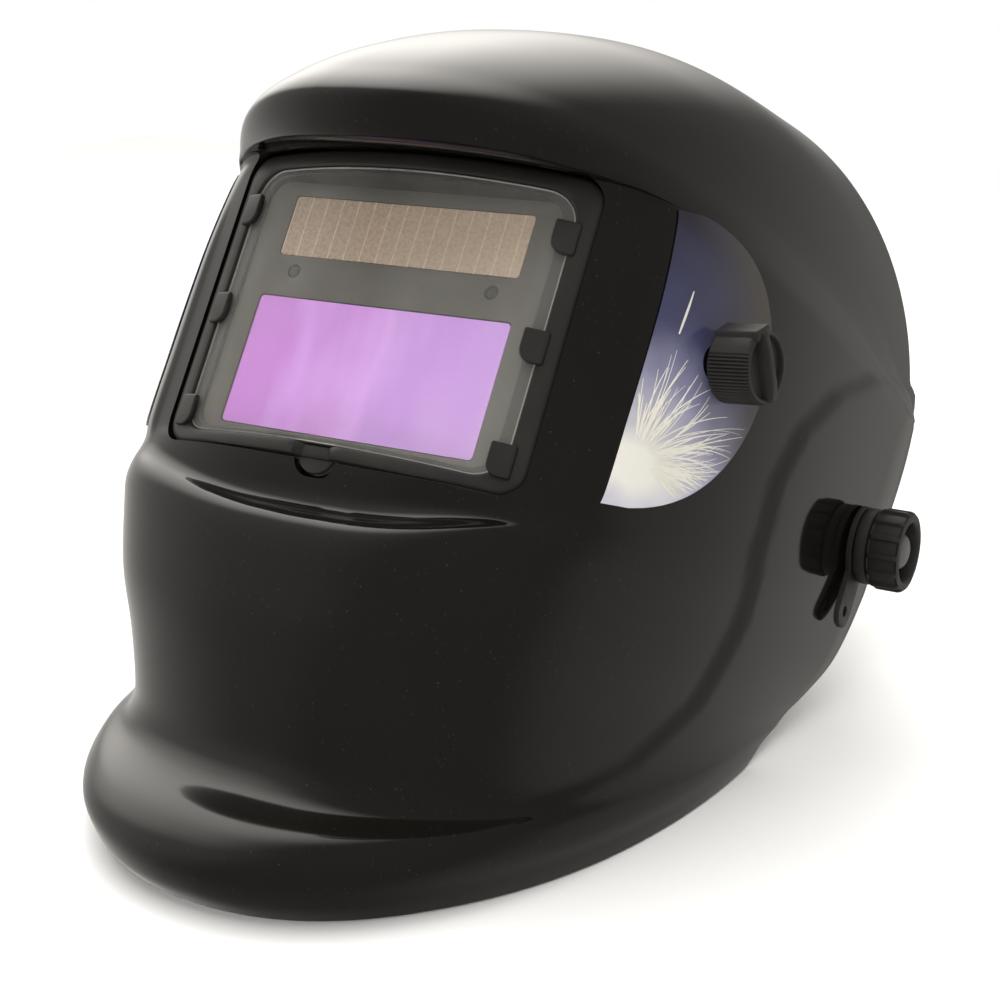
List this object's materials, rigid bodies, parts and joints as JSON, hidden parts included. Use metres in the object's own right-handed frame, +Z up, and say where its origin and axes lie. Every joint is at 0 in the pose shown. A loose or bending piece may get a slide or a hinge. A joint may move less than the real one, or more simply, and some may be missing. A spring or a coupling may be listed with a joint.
{
  "type": "welding helmet",
  "caption": "Glossy black auto-darkening welding helmet with a shade knob, side decals and a tilting ratchet headgear.",
  "frame": {"origin": "centre of the bounding box's base: the helmet stands on its lower rim on z = 0", "axes": "+X to the wearer's left, -Y the way the wearer looks, +Z up; the helmet leans back 20 degrees on its rim"},
  "size_m": [0.2666, 0.3552, 0.234],
  "materials": {
    "shell_gloss": "gloss",
    "frame_satin": "satin",
    "cover_clear": "clear polycarbonate",
    "cartridge_black": "satin",
    "filter_violet": "coated glass",
    "solar_brown": "glazed cells",
    "sensor_dark": "gloss",
    "dial_black": "satin",
    "knob_black": "satin",
    "pivot_metal": "brushed",
    "cable_black": "matte",
    "decal_print": "printed vinyl",
    "headgear_black": "satin",
    "sweatband_foam": "woven cloth over foam"
  },
  "bodies": {
    "shell": {"shell": "shell_gloss", "lens_frame": "frame_satin", "front_cover_lens": "cover_clear", "filter_housing": "cartridge_black", "filter_glass": "filter_violet", "solar_panel": "solar_brown", "arc_sensor_left": "sensor_dark", "arc_sensor_right": "sensor_dark", "inner_cover_lens": "cover_clear", "filter_retainer": "frame_satin", "shade_potentiometer": "pivot_metal", "shade_nut": "pivot_metal", "shade_cable": "cable_black", "decal_left": "decal_print", "decal_right": "decal_print", "limiter_plate_left": "knob_black", "limiter_plate_right": "knob_black"},
    "headgear": {"headband": "headgear_black", "sweatband": "sweatband_foam", "side_arm_left": "headgear_black", "side_arm_right": "headgear_black", "crown_strap_left": "headgear_black", "crown_strap_right": "headgear_black", "crown_strap_pin": "headgear_black", "rear_strap_left": "headgear_black", "rear_strap_right": "headgear_black", "ratchet_housing": "headgear_black", "rear_cushion": "sweatband_foam", "pivot_bolt_left": "pivot_metal", "pivot_bolt_right": "pivot_metal", "friction_washer_left": "knob_black", "friction_washer_right": "knob_black", "collar_left": "knob_black", "collar_right": "knob_black"},
    "tension_knob_left": {"tension_knob_left": "knob_black", "dome_nut_left": "pivot_metal"},
    "tension_knob_right": {"tension_knob_right": "knob_black", "dome_nut_right": "pivot_metal"},
    "shade_knob": {"shade_knob": "knob_black"},
    "sensitivity_dial": {"sensitivity_dial": "dial_black"},
    "delay_dial": {"delay_dial": "dial_black"},
    "ratchet_knob": {"ratchet_knob": "headgear_black"}
  },
  "joints": [
    {"name": "headgear_tilt", "type": "hinge", "parent": "shell", "child": "headgear", "pos_m": [0, 0.05205, 0.06214], "axis": [1, 0, 0], "range_deg": [-10, 60]},
    {"name": "tension_knob_left_turn", "type": "hinge", "parent": "headgear", "child": "tension_knob_left", "pos_m": [0.125, 0.05205, 0.06214], "axis": [1, 0, 0], "continuous": true},
    {"name": "tension_knob_right_turn", "type": "hinge", "parent": "headgear", "child": "tension_knob_right", "pos_m": [-0.125, 0.05205, 0.06214], "axis": [-1, 0, 0], "continuous": true},
    {"name": "shade_knob_turn", "type": "hinge", "parent": "shell", "child": "shade_knob", "pos_m": [0.10756, -0.03797, 0.14223], "axis": [0.9879, -0.123, 0.0944], "range_deg": [-135, 135]},
    {"name": "sensitivity_dial_turn", "type": "hinge", "parent": "shell", "child": "sensitivity_dial", "pos_m": [0.024, -0.05121, 0.1694], "axis": [0, 0.8443, -0.5358], "range_deg": [-135, 135]},
    {"name": "delay_dial_turn", "type": "hinge", "parent": "shell", "child": "delay_dial", "pos_m": [-0.024, -0.05121, 0.1694], "axis": [0, 0.8443, -0.5358], "range_deg": [-135, 135]},
    {"name": "ratchet_knob_turn", "type": "hinge", "parent": "headgear", "child": "ratchet_knob", "pos_m": [0, 0.15892, 0.03012], "axis": [0, 0.8746, -0.4848], "continuous": true}
  ]
}
